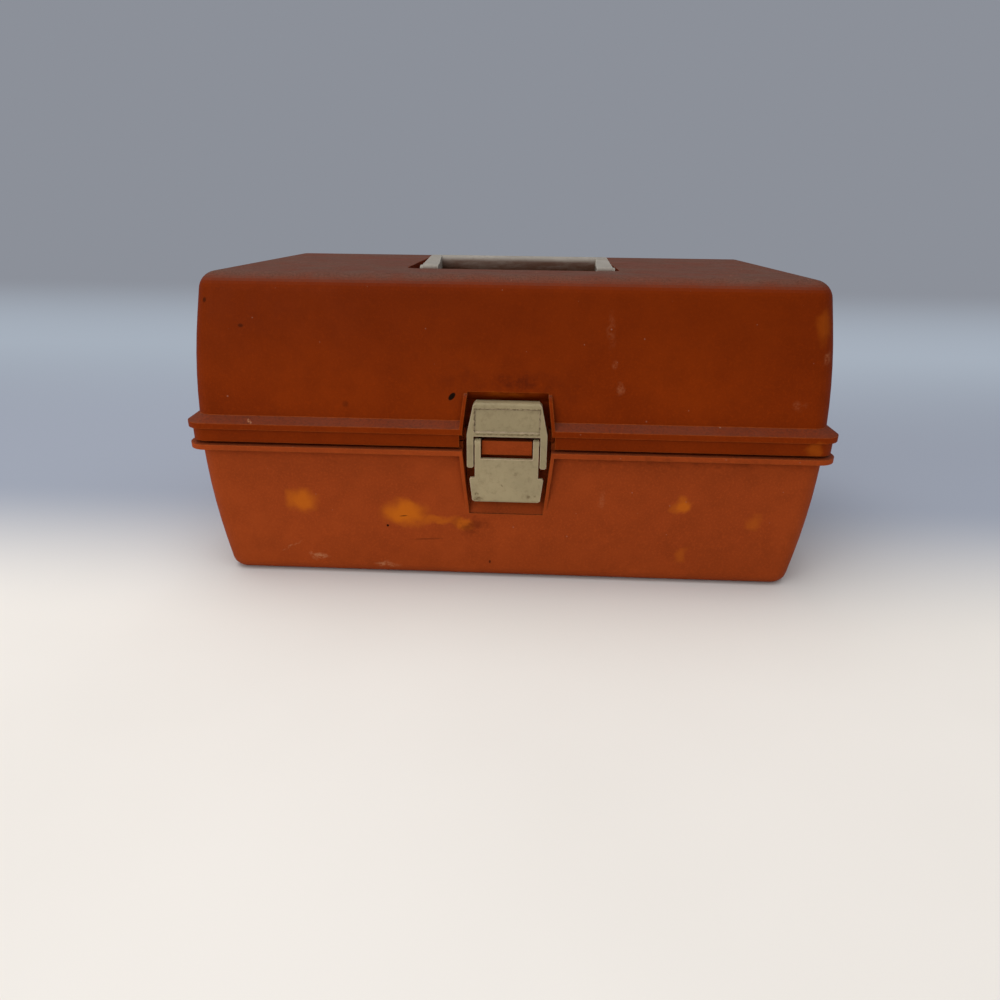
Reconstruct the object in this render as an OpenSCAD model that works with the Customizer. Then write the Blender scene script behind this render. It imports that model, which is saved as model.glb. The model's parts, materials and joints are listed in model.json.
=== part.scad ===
// Portable tackle box. A moulded tub and a deep lid hinged at the back, a draw
// latch in a pocket at the front, a folding handle in a well in the lid's top,
// and three trays on parallel arms that step back as the lid opens.
// The origin is at the middle of the box, on the surface it stands on. +X is to
// the right and -Y is the front. The lid is closed.

/* [Case] */
// Width over the lid flange
case_w = 430; // [410:1:460]
// Depth over the lid flange
case_d = 245; // [240:1:260]
// Height to the top of the closed lid, without the handle
case_h = 206.5; // [204:0.5:216]
// Height of the tub's flange
tub_h = 97.5; // [95:0.5:100]
// Wall thickness of both shells
wall = 2.8; // [2.4:0.1:3]
// Thickness of the tub's floor
floor_t = 3.2; // [2.6:0.1:4]
// Plan radius of the shells' corners
corner_r = 13.5; // [13.5:0.5:17]
// How far the walls swell outwards halfway up
wall_bow = 1.4; // [0:0.1:2]
// Plan radius of the flanges' corners
flange_r = 13; // [12:0.5:18]
// Radius along the lid's top edges
crown_r = 13; // [6:0.5:13]
// Radius along the tub's bottom edges
heel_r = 9; // [5:0.5:10]
// How far the lid's walls lean in from their foot to the crown
lid_draft = 8; // [6:0.1:9]
// How far the tub's end walls lean in from the flange to the heel
tub_draft_ends = 8.4; // [6:0.1:10]
// How far the tub's front and rear walls lean in from the flange to the heel
tub_draft_faces = 1.4; // [1:0.1:3]

/* [Seam] */
// Overhang of the lid flange past the foot of the lid wall
flange_out = 6; // [5.6:0.1:7]
// Height of the lid flange's outer edge
lid_flange_h = 3.9; // [3.4:0.1:5]
// Rise from the flange's edge to the foot of the lid wall
flange_rise = 4.5; // [2.5:0.1:5]
// How far the skirt below the flange is set in
skirt_inset = 2.5; // [2:0.1:2.8]
// Height of the skirt
skirt_h = 9.1; // [8:0.1:10]
// Open seam between the skirt and the tub's flange
seam_gap = 1.9; // [1.7:0.1:2.4]
// How far the tub's flange stays inside the lid's
tub_flange_inset = 0; // [0:0.1:2]
// Height of the tub flange's edge
tub_flange_h = 3.5; // [3.4:0.1:6]
// How far the top of the tub's front and rear walls stands inside the lid flange's edge
tub_inset = 6.2; // [5.6:0.1:6.6]
// How far the top of the tub's end walls stands inside it
tub_inset_ends = 4.9; // [4.6:0.1:6.6]
// Gap between the skirt and the tub's lip
lip_gap = 3; // [2.8:0.1:3.2]

/* [Hinge] */
// Distance from the flange's end to the middle of each hinge
hinge_end = 90; // [70:1:120]
// Length of one hinge
hinge_l = 50; // [40:1:60]
// Knuckles in one hinge
knuckle_n = 5; // [3:2:7]
// Radius of a knuckle
knuckle_r = 4; // [3.8:0.1:4.2]
// Radius of a hinge pin
hinge_pin_r = 1.5; // [1.2:0.1:1.8]
// Height of the hinge axis above the tub's flange
hinge_rise = 3; // [2.9:0.1:3.4]

/* [Latch] */
// How far the latch's face stays behind the flange's edge
latch_inset = 1.3; // [1:0.1:1.6]
// Thickness of the bail's and the lever's plates
plate_t = 2.8; // [2.4:0.1:3]
// Height of the bail's top above the tub's flange
bail_rise = 32.5; // [31:0.5:35]
// Half width of the bail along its top
bail_top_hw = 22.2; // [20.5:0.1:23]
// Half width of the bail at its hips and legs
bail_hw = 26.3; // [25.6:0.1:27]
// Height of the bail's cover, from its top to its bar's lower edge
bail_cover_h = 22.5; // [21:0.1:25]
// Length of the bail's legs below the cover
bail_leg_h = 21.6; // [18:0.1:23]
// Width of a leg
bail_leg_w = 4.4; // [4:0.1:5]
// Depth of the bail from its face to the back of its top
bail_depth = 8.7; // [8.2:0.1:9]
// Thickness of the bail's top
bail_lip_t = 2.4; // [1.6:0.1:2.6]
// Radius of the rounded front edges of the bail and the lever
edge_r = 2; // [0.8:0.1:2]
// Depth of the panel in the bail's face
panel_depth = 0.8; // [0.5:0.1:1]
// Width of the frame below the bail's panel
panel_border = 3.1; // [2.6:0.1:4]
// Height of the bail's face above its panel
panel_top = 4; // [3.5:0.5:8]
// Radius of the latch pin
latch_pin_r = 1.1; // [0.9:0.05:1.2]
// Radius of the latch pin's knuckles
latch_knuckle_r = 2.2; // [2:0.05:2.3]
// Distance from the lever's axis up to the bail's bar
lever_drop = 4.9; // [4.5:0.1:5.4]
// Radius of the bosses at the top of the lever's arms
lever_boss_r = 3; // [2.6:0.1:3.4]
// Radius of the lever's stub axles
stub_r = 1.6; // [1.3:0.1:1.8]
// Length of the lever from its axis to its lower edge
lever_l = 41.5; // [38:0.1:43]
// Length of the lever's neck from its axis to its shoulders
lever_neck_l = 23.6; // [22:0.1:25]
// Half width of the lever's lower edge
lever_end_hw = 22.7; // [21.5:0.1:23.5]
// Half width of the window between the lever's arms
window_hw = 17.2; // [16:0.1:18]
// Distance from the lever's axis down to the window's lower edge
window_drop = 10.3; // [9:0.1:10.6]
// Height of the catch's lower edge above the window's
catch_rise = 2; // [0.6:0.1:2.4]
// Height of the catch on the tub
catch_h = 9.6; // [8:0.1:10.5]
// Deepest setback of the latch pocket behind the flange's edge
pocket_depth = 15.2; // [15:0.1:16]
// Half width of the pocket at the seam
pocket_hw = 29.2; // [28.8:0.1:31]
// Half width of the pocket at its top in the lid
pocket_top_hw = 26.1; // [25.5:0.1:27.5]
// Half width of the pocket at its lower end in the tub
pocket_low_hw = 25.2; // [24.8:0.1:28]
// Thickness of the ribs beside the pocket
rib_t = 2.2; // [2:0.1:3]
// Height of the lid's ribs above its flange
lid_rib_h = 22.3; // [20:0.1:24]
// Length of the tub's ribs below its flange
tub_rib_h = 43; // [40:0.5:48]

/* [Handle] */
// Width of the handle over its arms
handle_w = 132; // [124:1:134]
// How far the handle sits to the right of the middle of its well
handle_shift = 2.8; // [0:0.1:3.2]
// Width of one handle arm at its eye
handle_arm_w = 11; // [8:0.5:12]
// Width of one handle arm at the grip
handle_arm_top_w = 7.5; // [6:0.5:12]
// Distance from the handle's axis to the middle of its grip
handle_reach = 48; // [44:1:52]
// Radius of the grip
grip_r = 8; // [7:0.5:9]
// Height of the grip's middle above the handle's axis
grip_rise = 1.5; // [1:0.5:3]
// Radius of the handle's eyes
handle_eye_r = 6; // [5:0.5:6.5]
// Radius of the handle's pins
handle_pin_r = 3; // [2.5:0.1:3.5]
// Distance of the handle's axis in front of the box's middle
handle_y = 44; // [40:0.5:46]
// Depth of the handle's axis below the lid's top
handle_sink = 4; // [3.5:0.5:5]
// Gap between each end of the handle and the end of its well
handle_gap = 7.5; // [6.5:0.5:17]
// Distance of the well's front edge in front of the box's middle
well_front = 57; // [54:0.5:60]
// Distance of the well's rear edge behind the box's middle
well_rear = 60; // [54:0.5:64]
// Depth of the well
well_depth = 22; // [19:0.5:22]
// Plan radius of the well's corners
well_r = 10; // [6:0.5:12]

/* [Trays] */
// Gap between the tub's lip and the trays' front edge
tray_front_gap = 9.9; // [9.4:0.1:13]
// Room between the trays' rear edge and the tub's lip
tray_rear_gap = 61.4; // [59.4:0.1:65.4]
// Height of one tray
tray_h = 24; // [22:0.5:24.5]
// Gap between stacked trays
tray_gap = 2; // [1.6:0.1:3]
// Height of the lowest tray above the floor the box stands on
tray_z = 88; // [87.5:0.1:89]
// Thickness of a tray's walls and floor
tray_t = 2; // [1.6:0.1:2.2]
// Distance of the trays' long partition in front of the rear arms' lower pivot
partition_back = 92; // [90:0.5:94]
// Thickness of a loose divider
divider_t = 1.6; // [1.2:0.1:2]
// Columns in the lowest tray
columns_lower = 3; // [2:1:4]
// Columns in the middle tray
columns_middle = 4; // [2:1:5]
// Columns in the top tray
columns_upper = 4; // [2:1:6]

/* [Arms] */
// Distance of the rear arms' lower pivot in front of the lid's hinge axis
arm_back = 48; // [46:0.5:49]
// Height of the arms' lower pivots
arm_z = 84.5; // [84:0.1:85.5]
// Distance between front and rear arms
arm_pitch = 48; // [44:0.5:50]
// Slope of the arms above the horizontal while the lid is closed
arm_slope = 40; // [39:0.5:41]
// Arm length to the lowest tray's pivot
arm_r1 = 37; // [36:0.5:38]
// Arm length to the middle tray's pivot
arm_r2 = 68; // [66:0.5:69]
// Arm length to the top tray's pivot
arm_r3 = 100; // [97:0.5:101]
// Distance from the rear arms' lower pivot to the link's pivot
link_r = 50; // [48:0.5:52]
// Thickness of the arms and links
strip_t = 1.6; // [1.4:0.1:2]
// Width of the arms
arm_w = 10; // [9:0.5:11]
// Width of the links
link_w = 8; // [7.5:0.5:9]
// Radius of the rivets
rivet_r = 1.8; // [1.6:0.1:2.2]
// Radius of the rivet heads
head_r = 3; // [2.8:0.1:3.4]
// Thickness of the rivet heads
head_t = 0.7; // [0.5:0.1:0.8]
// Height of the arms' bosses inside the tub's end walls
boss_h = 8; // [6.3:0.1:8.4]
// Radius of the bosses
boss_r = 6.5; // [5.5:0.5:7]

/* [Fits] */
// Radial clearance of a pin that turns in its bore
pin_fit = 0.06; // [0.03:0.01:0.09]
// Clearance between faces that pass each other
move_gap = 0.4; // [0.35:0.05:0.5]
// Clearance between faces that meet when the box is closed
seat_gap = 0.3; // [0.25:0.05:0.4]
// Clearance on each side of a loose divider
slot_gap = 0.15; // [0.1:0.05:0.25]

/* [Hidden] */

// Colours as the object has them
orange = [0.62, 0.23, 0.06];
cream = [0.78, 0.74, 0.62];
bone = [0.80, 0.76, 0.66];
steel = [0.62, 0.62, 0.60];

// Facets of the rounded shells, and of the small rounds
shell_fn = 40;
$fn = 48;
// A hair that keeps cuts and joins from sharing a face
eps = 0.01;
// The ring that the tub stands on: its width inside the heel, and its height
foot_ring_w = 8;
foot_ring_h = 1;

// Heights along the seam
skirt_z = tub_h + seam_gap;
flange_z = skirt_z + skirt_h;
flange_top = flange_z + lid_flange_h;
foot_z = flange_top + flange_rise;
lip_z = flange_z - seat_gap;

// Half sizes [x, y] of each outline, from the lid flange inwards
flange_s = [case_w / 2, case_d / 2];
foot_s = inset(flange_s, flange_out);
crown_s = inset(foot_s, lid_draft);
skirt_s = inset(flange_s, skirt_inset);
skirt_in_s = inset(skirt_s, wall);
lip_s = inset(skirt_in_s, lip_gap);
tub_flange_s = inset(flange_s, tub_flange_inset);
tub_top_s = [flange_s.x - tub_inset_ends, flange_s.y - tub_inset];
tub_low_s = [tub_top_s.x - tub_draft_ends, tub_top_s.y - tub_draft_faces];
skirt_r = flange_r - skirt_inset;
skirt_in_r = skirt_r - wall;
lip_r = skirt_in_r - lip_gap;

// Slope of each wall as it leans in, per millimetre of height
lid_lean = lid_draft / (case_h - crown_r - foot_z);
tub_lean_ends = tub_draft_ends / (tub_h - wall - heel_r);
tub_lean_faces = tub_draft_faces / (tub_h - wall - heel_r);

// Hinge axis, which stays inside the flange's outline
hinge_x = flange_s.x - hinge_end;
hinge_y = flange_s.y - knuckle_r - 0.5;
hinge_z = tub_h + hinge_rise;
knuckle_l = hinge_l / knuckle_n;

// Latch planes and axes
latch_face = -flange_s.y + latch_inset;
latch_back = latch_face + plate_t;
bail_top = tub_h + bail_rise;
bail_bar = bail_top - bail_cover_h;
bail_low = bail_bar - bail_leg_h;
bail_axis = [latch_face + bail_depth, bail_top - bail_lip_t - latch_knuckle_r - move_gap];
lever_axis = [latch_face + lever_boss_r, bail_bar - lever_drop];
lever_low = lever_axis[1] - lever_l;
lever_hw = bail_hw - bail_leg_w - 2 * move_gap;
window_z = lever_axis[1] - window_drop;
catch_z = window_z + catch_rise;
catch_hw = window_hw - 0.6;
pocket_y = -flange_s.y + pocket_depth;
pocket_seam = catch_z + catch_h - 1.5;
cheek_t = 2.4;
cheek_x = bail_top_hw - cheek_t;
centre_knuckle_hw = 8;
// The pocket's head slopes clear of the bail's top as the bail swings out
pocket_head_z = bail_top + 6;
pocket_knee_z = bail_top - 1.2;

// Handle
handle_axis = [-handle_y, case_h - handle_sink];
grip_axis = [handle_axis[0] + handle_reach, handle_axis[1] + grip_rise];
well_y = (well_rear - well_front) / 2;
well_w = handle_w + 2 * handle_gap;
well_s = [well_w / 2, (well_rear + well_front) / 2];
well_z = case_h - well_depth;
handle_collar_l = 1.6;
handle_boss_t = 3.4;
handle_boss_wall = 4;

// Layers from the tub's end wall inwards: boss, arm, tray. The link runs
// between the arm and the lid's end wall.
tub_inner_x = wall_x_tub(arm_z) - wall;
boss_face = tub_inner_x - boss_h;
arm_out = boss_face - move_gap;
arm_in = arm_out - strip_t;
tray_hw = arm_in - move_gap;
head_in = arm_out + move_gap / 2;
link_in = head_in + head_t + move_gap + 0.1;
link_out = link_in + strip_t;
lid_boss_face = link_out + move_gap;
hole_depth = 4;

// Trays lie between the front and the rear of the tub's lip
tray_front = lip_s.y - wall - tray_front_gap;
tray_rear = lip_s.y - wall - tray_rear_gap;

// Pivots as [y, z]
rear_pivot = [hinge_y - arm_back, arm_z];
front_pivot = rear_pivot - [arm_pitch, 0];
partition_y = partition_back - rear_pivot[0];
arm_dir = [-cos(arm_slope), sin(arm_slope)];
link_vector = [hinge_y, hinge_z] - rear_pivot;
link_arm_pivot = rear_pivot + link_r * arm_dir;
link_lid_pivot = link_arm_pivot + link_vector;
arm_radii = [arm_r1, arm_r2, arm_r3];
columns = [columns_lower, columns_middle, columns_upper];
tray_step = tray_h + tray_gap;
tray_r = 4;
tray_rim = 1.4;
slot_rib = 1.2;
// Rings that make up the swell of a wall
bow_steps = 6;

function inset(s, d) = [s.x - d, s.y - d];
// Swell of a wall at height z, between the heights where it is nil
function bow(z, z0, z1) = wall_bow * 4 * (z - z0) * (z1 - z) / pow(z1 - z0, 2);
function bow_lid(z) = bow(z, foot_z, case_h - crown_r);
function bow_tub(z) = bow(z, heel_r, tub_h - wall);
function wall_y_lid(z) = foot_s.y - lid_lean * (z - foot_z) + bow_lid(z);
function wall_x_lid(z) = foot_s.x - lid_lean * (z - foot_z) + bow_lid(z);
function wall_y_tub(z) = tub_top_s.y - tub_lean_faces * (tub_h - wall - z) + bow_tub(z);
function wall_x_tub(z) = tub_top_s.x - tub_lean_ends * (tub_h - wall - z) + bow_tub(z);
function tray_floor_z(k) = tray_z + k * tray_step;
function tray_pivot(k) = rear_pivot + arm_radii[k] * arm_dir;
// Points of a quarter wave from a to b, steep at the end named first
function swell(a, b, n) = [for (i = [0:n]) let (t = 90 * i / n)
    [b[0] + (a[0] - b[0]) * cos(t), a[1] + (b[1] - a[1]) * sin(t)]];
function taper(a, b, n) = [for (i = [0:n]) let (t = i / n)
    [b[0] + (a[0] - b[0]) * cos(90 * t), a[1] + (b[1] - a[1]) * t]];

// A rounded rectangle of half size s
module slab(s, r) {
    square([2 * (s.x - r), 2 * s.y], center = true);
    square([2 * s.x, 2 * (s.y - r)], center = true);
    for (x = [-1, 1], y = [-1, 1])
        translate([x * (s.x - r), y * (s.y - r)]) circle(r = r);
}

// A slab of height h that starts at height z
module block(s, r, z, h) {
    translate([0, 0, z]) linear_extrude(h) slab(s, r);
}

// Draws its child at the four corners of an outline
module at_corners(s, r, z) {
    for (x = [-1, 1], y = [-1, 1])
        translate([x * (s.x - r), y * (s.y - r), z]) children();
}

// A disc of radius r whose lower edge is rounded by e
module heel_disc(r, e) {
    rotate_extrude($fn = shell_fn) {
        square([r - e, e]);
        intersection() {
            translate([r - e, e]) circle(r = e);
            square([r, e]);
        }
    }
}

// A shell's solid inside its walls by d: its walls lean and swell outwards, and
// it is rounded along the edge at z_end
module shell_solid(low, top, z0, z1, r, e, z_end, d) {
    hull() {
        for (i = [0:bow_steps])
            at_corners(inset(low + (top - low) * i / bow_steps, d - bow(i, 0, bow_steps)), r - d,
                z0 + (z1 - z0 - eps) * i / bow_steps)
                cylinder(r = r - d, h = eps, $fn = shell_fn);
        at_corners(inset(z_end < z0 ? low : top, d), r - d, z_end)
            mirror([0, 0, z_end < z0 ? 0 : 1]) heel_disc(r - d, e - d);
    }
}
module tub_solid(d, z_end) {
    shell_solid(tub_low_s, tub_top_s, heel_r, tub_h - wall, corner_r, heel_r, z_end, d);
}
module lid_solid(d, z_end) {
    shell_solid(foot_s, crown_s, foot_z, case_h - crown_r, corner_r, crown_r, z_end, d);
}

// Extrudes an outline drawn as [y, z] along X, from x0 to x1
module along_x(x0, x1) {
    translate([x0, 0, 0]) rotate([90, 0, 90]) linear_extrude(x1 - x0) children();
}
// Extrudes an outline drawn as [x, z] along Y, from y0 to y1
module along_y(y0, y1) {
    translate([0, y1, 0]) rotate([90, 0, 0]) linear_extrude(y1 - y0) children();
}
// A pin or bore along X
module rod(p, r, x0, x1) {
    translate([x0, p[0], p[1]]) rotate([0, 90, 0]) cylinder(r = r, h = x1 - x0);
}
module both_sides() {
    children();
    mirror([1, 0, 0]) children();
}

// The pocket between the ribs, as an outline seen from the front
module pocket_outline(grow) {
    polygon([
        [-pocket_top_hw - grow, pocket_head_z + grow],
        [pocket_top_hw + grow, pocket_head_z + grow],
        [pocket_hw + grow, flange_top],
        [pocket_hw + grow, tub_h - tub_flange_h],
        [pocket_low_hw + grow, tub_h - tub_flange_h - tub_rib_h - grow],
        [-pocket_low_hw - grow, tub_h - tub_flange_h - tub_rib_h - grow],
        [-pocket_hw - grow, tub_h - tub_flange_h],
        [-pocket_hw - grow, flange_top]
    ]);
}

// A rib that runs from the flange into the wall and leans towards the middle
module rib(x0, z0, x1, z1, outline) {
    lean = atan((x1 - x0) / (z1 - z0));
    translate([x0, 0, z0]) rotate([0, lean, 0]) translate([0, 0, -z0])
        along_x(0, rib_t) polygon(outline);
}

// The knuckles of one hinge side: the tub has the even ones, the lid the odd
module knuckles(odd) {
    for (side = [-1, 1], i = [odd:2:knuckle_n - 1])
        rod([hinge_y, hinge_z], knuckle_r,
            side * hinge_x - hinge_l / 2 + i * knuckle_l + move_gap / 2,
            side * hinge_x - hinge_l / 2 + (i + 1) * knuckle_l - move_gap / 2);
}
module knuckle_room(odd) {
    for (side = [-1, 1], i = [odd:2:knuckle_n - 1])
        rod([hinge_y, hinge_z], knuckle_r + move_gap,
            side * hinge_x - hinge_l / 2 + i * knuckle_l - move_gap / 2,
            side * hinge_x - hinge_l / 2 + (i + 1) * knuckle_l + move_gap / 2);
}
module hinge_bores() {
    for (side = [-1, 1])
        rod([hinge_y, hinge_z], hinge_pin_r + pin_fit,
            side * hinge_x - hinge_l / 2 - 1, side * hinge_x + hinge_l / 2 + 1);
}
// Webs that tie the tub's knuckles to its lip
module knuckle_webs() {
    for (side = [-1, 1], i = [0:2:knuckle_n - 1])
        translate([side * hinge_x - hinge_l / 2 + i * knuckle_l + move_gap / 2,
            lip_s.y - wall / 2, tub_h - 1])
            cube([knuckle_l - move_gap, hinge_y - lip_s.y + wall / 2, hinge_rise + 2]);
}

// Tub: wall, flange with its downturned edge, and the lip the lid closes over
module tub_shell() {
    difference() {
        union() {
            tub_solid(0, 0);
            block(tub_flange_s, flange_r, tub_h - tub_flange_h, tub_flange_h);
            block(lip_s, lip_r, tub_h - wall, lip_z - tub_h + wall);
        }
        tub_solid(wall, floor_t);
        block(inset(lip_s, wall), lip_r - wall + 1, tub_h - wall - 1, lip_z - tub_h + wall + 2);
    }
}
// The pocket's outline in the tub seen from the side; grow thickens it inwards
module tub_pocket_profile(grow, top) {
    low = tub_h - tub_flange_h - tub_rib_h;
    polygon([
        [-flange_s.y - 5, top],
        [pocket_y + grow, top],
        [pocket_y + grow, low + 12 - grow],
        [-wall_y_tub(low) + wall / 2, low - grow],
        [-flange_s.y - 5, low - grow]
    ]);
}
module tub_pocket_void() {
    intersection() {
        along_x(-pocket_hw - 9, pocket_hw + 9) tub_pocket_profile(0, tub_h + 20);
        along_y(-flange_s.y - 5, 0) pocket_outline(0);
    }
}
module tub_pocket_wall() {
    intersection() {
        along_x(-pocket_hw - 9, pocket_hw + 9) tub_pocket_profile(wall, pocket_seam - seat_gap);
        along_y(-tub_top_s.y + wall / 2, 0) pocket_outline(wall);
    }
}
module catch_block() {
    along_x(-catch_hw, catch_hw) polygon([
        [latch_back + seat_gap, catch_z],
        [latch_back + seat_gap, catch_z + catch_h],
        [pocket_y - 1.2, catch_z + catch_h],
        [pocket_y - 1.2, pocket_seam - seat_gap],
        [pocket_y + 1, pocket_seam - seat_gap],
        [pocket_y + 1, catch_z]
    ]);
}
module tub_ribs() {
    top = tub_h - 1;
    low = tub_h - tub_flange_h - tub_rib_h;
    outline = concat(
        taper([-tub_flange_s.y, top], [-wall_y_tub(low) + wall / 4, low], 14),
        [[-wall_y_tub(low) + wall / 2, top]]
    );
    both_sides() rib(pocket_hw, top, pocket_low_hw, low, outline);
}
module base_tub() {
    color(orange) difference() {
        union() {
            difference() {
                union() {
                    difference() {
                        tub_shell();
                        translate([-pocket_hw - wall - move_gap, -flange_s.y - 1, tub_h + eps])
                            cube([2 * (pocket_hw + wall + move_gap), 2 * wall + lip_gap + 8, lip_z]);
                    }
                    tub_pocket_wall();
                    for (p = [front_pivot, rear_pivot])
                        both_sides() rod(p, boss_r, boss_face, tub_inner_x + wall / 2);
                }
                tub_pocket_void();
                knuckle_room(1);
            }
            tub_ribs();
            catch_block();
            knuckles(0);
            knuckle_webs();
        }
        hinge_bores();
        for (p = [front_pivot, rear_pivot])
            both_sides() rod(p, rivet_r + pin_fit, boss_face - 1, boss_face + hole_depth);
        // The shallow panel under the floor leaves a ring to stand on
        block(inset(tub_low_s, heel_r + foot_ring_w), corner_r, -1, 1 + foot_ring_h);
    }
}

// Lid: wall and crown, flange and skirt
module lid_case() {
    difference() {
        union() {
            lid_solid(0, case_h);
            block(foot_s, corner_r, flange_z, foot_z - flange_z + eps);
            block(flange_s, flange_r, flange_z, lid_flange_h);
            hull() {
                at_corners(flange_s, flange_r, flange_top - eps)
                    cylinder(r = flange_r, h = eps, $fn = shell_fn);
                at_corners(inset(foot_s, 0.3), corner_r, foot_z)
                    cylinder(r = corner_r, h = eps, $fn = shell_fn);
            }
            difference() {
                block(skirt_s, skirt_r, skirt_z, skirt_h + 1);
                block(skirt_in_s, skirt_in_r, skirt_z - 1, skirt_h + 1);
            }
        }
        lid_solid(wall, case_h - wall);
        block(inset(foot_s, wall), corner_r - wall, flange_z - eps, foot_z - flange_z + 2 * eps);
    }
}
// The pocket's outline in the lid seen from the side; grow thickens it inwards
module lid_pocket_profile(grow, low) {
    polygon([
        [-flange_s.y - 5, low],
        [-flange_s.y - 5, pocket_head_z + grow],
        [-wall_y_lid(pocket_head_z) + grow, pocket_head_z + grow],
        [pocket_y + grow - 0.6, pocket_knee_z + grow / 2],
        [pocket_y + grow, pocket_knee_z - 1.2],
        [pocket_y + grow, low]
    ]);
}
module lid_pocket_void() {
    intersection() {
        along_x(-pocket_hw - 9, pocket_hw + 9) lid_pocket_profile(0, tub_h);
        along_y(-flange_s.y - 5, 0) pocket_outline(0);
    }
}
module lid_pocket_wall() {
    intersection() {
        along_x(-pocket_hw - 9, pocket_hw + 9) lid_pocket_profile(wall, pocket_seam);
        along_y(-wall_y_lid(foot_z) + wall, 0) pocket_outline(wall);
    }
}
// The short ledges of the flange that run on beside the bail's legs
module pocket_ledges() {
    both_sides() translate([bail_hw + 1, pocket_y - 4.4, pocket_seam])
        cube([pocket_hw - bail_hw - 1 + eps, 5, flange_top - pocket_seam - 2]);
}
module lid_ribs() {
    low = flange_z + lid_flange_h / 2;
    top = flange_top + lid_rib_h;
    outline = concat(
        [[-wall_y_lid(top) + wall / 2, low]],
        swell([-flange_s.y, low], [-wall_y_lid(top), top], 14),
        [[-wall_y_lid(top) + wall / 2, top]]
    );
    both_sides() rib(pocket_hw, low, pocket_top_hw, top, outline);
}
// The knuckle that carries the bail, on a foot from the pocket's back
module bail_knuckle() {
    rod(bail_axis, latch_knuckle_r, -centre_knuckle_hw, centre_knuckle_hw);
    along_x(-centre_knuckle_hw, centre_knuckle_hw) polygon([
        [bail_axis[0] - latch_knuckle_r * cos(25), bail_axis[1] - latch_knuckle_r * sin(25)],
        [bail_axis[0] + latch_knuckle_r * cos(25), bail_axis[1] - latch_knuckle_r * sin(25)],
        [pocket_y + 1, bail_axis[1] - 0.9],
        [pocket_y + 1, bail_axis[1] - 6]
    ]);
}
module handle_well() {
    block(inset(well_s, -wall), well_r + wall, well_z - wall, well_depth + wall / 2);
}
// The bosses beside the well, below the lid's top, that hold the handle's pins
module handle_boss() {
    intersection() {
        rod(handle_axis, handle_pin_r + handle_boss_wall,
            well_s.x + wall / 2, well_s.x + wall + handle_boss_t);
        translate([0, -case_d / 2, 0]) cube([case_w / 2, case_d, case_h - wall / 2]);
    }
}
module lid_shell() {
    color(orange) difference() {
        union() {
            difference() {
                union() {
                    lid_case();
                    lid_pocket_wall();
                    translate([0, well_y, 0]) handle_well();
                    both_sides() handle_boss();
                    both_sides() rod(link_lid_pivot, boss_r, lid_boss_face,
                        wall_x_lid(link_lid_pivot[1]) - wall / 2);
                }
                lid_pocket_void();
                translate([-pocket_hw - rib_t, -flange_s.y - 1, skirt_z - 1])
                    cube([2 * (pocket_hw + rib_t), flange_s.y - skirt_in_s.y + 1 + eps, skirt_h + 1]);
                translate([0, well_y, 0]) block(well_s, well_r, well_z, well_depth + 1);
                knuckle_room(0);
            }
            lid_ribs();
            pocket_ledges();
            bail_knuckle();
            knuckles(1);
        }
        hinge_bores();
        rod(bail_axis, latch_pin_r + pin_fit, -centre_knuckle_hw - 1, centre_knuckle_hw + 1);
        both_sides() {
            rod(handle_axis, handle_pin_r + pin_fit, well_s.x - 2, well_s.x + wall + handle_boss_t - 1);
            rod(link_lid_pivot, rivet_r + pin_fit, lid_boss_face - 1, lid_boss_face + hole_depth);
        }
    }
}

module hinge_pin(side) {
    color(steel) rod([hinge_y, hinge_z], hinge_pin_r,
        side * hinge_x - hinge_l / 2 + 0.4, side * hinge_x + hinge_l / 2 - 0.4);
}
module hinge_pin_left() { hinge_pin(-1); }
module hinge_pin_right() { hinge_pin(1); }

// What rounds the front edge of a plate takes off, where side is 1 at its top
// and -1 at its lower edge
module edge_cut(z, side) {
    along_x(-bail_hw - 1, bail_hw + 1) translate([latch_face, z]) mirror([0, side < 0 ? 1 : 0])
        difference() {
            translate([-1, -edge_r]) square([edge_r + 1, edge_r + 1]);
            translate([edge_r, -edge_r]) circle(r = edge_r);
        }
}

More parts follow.
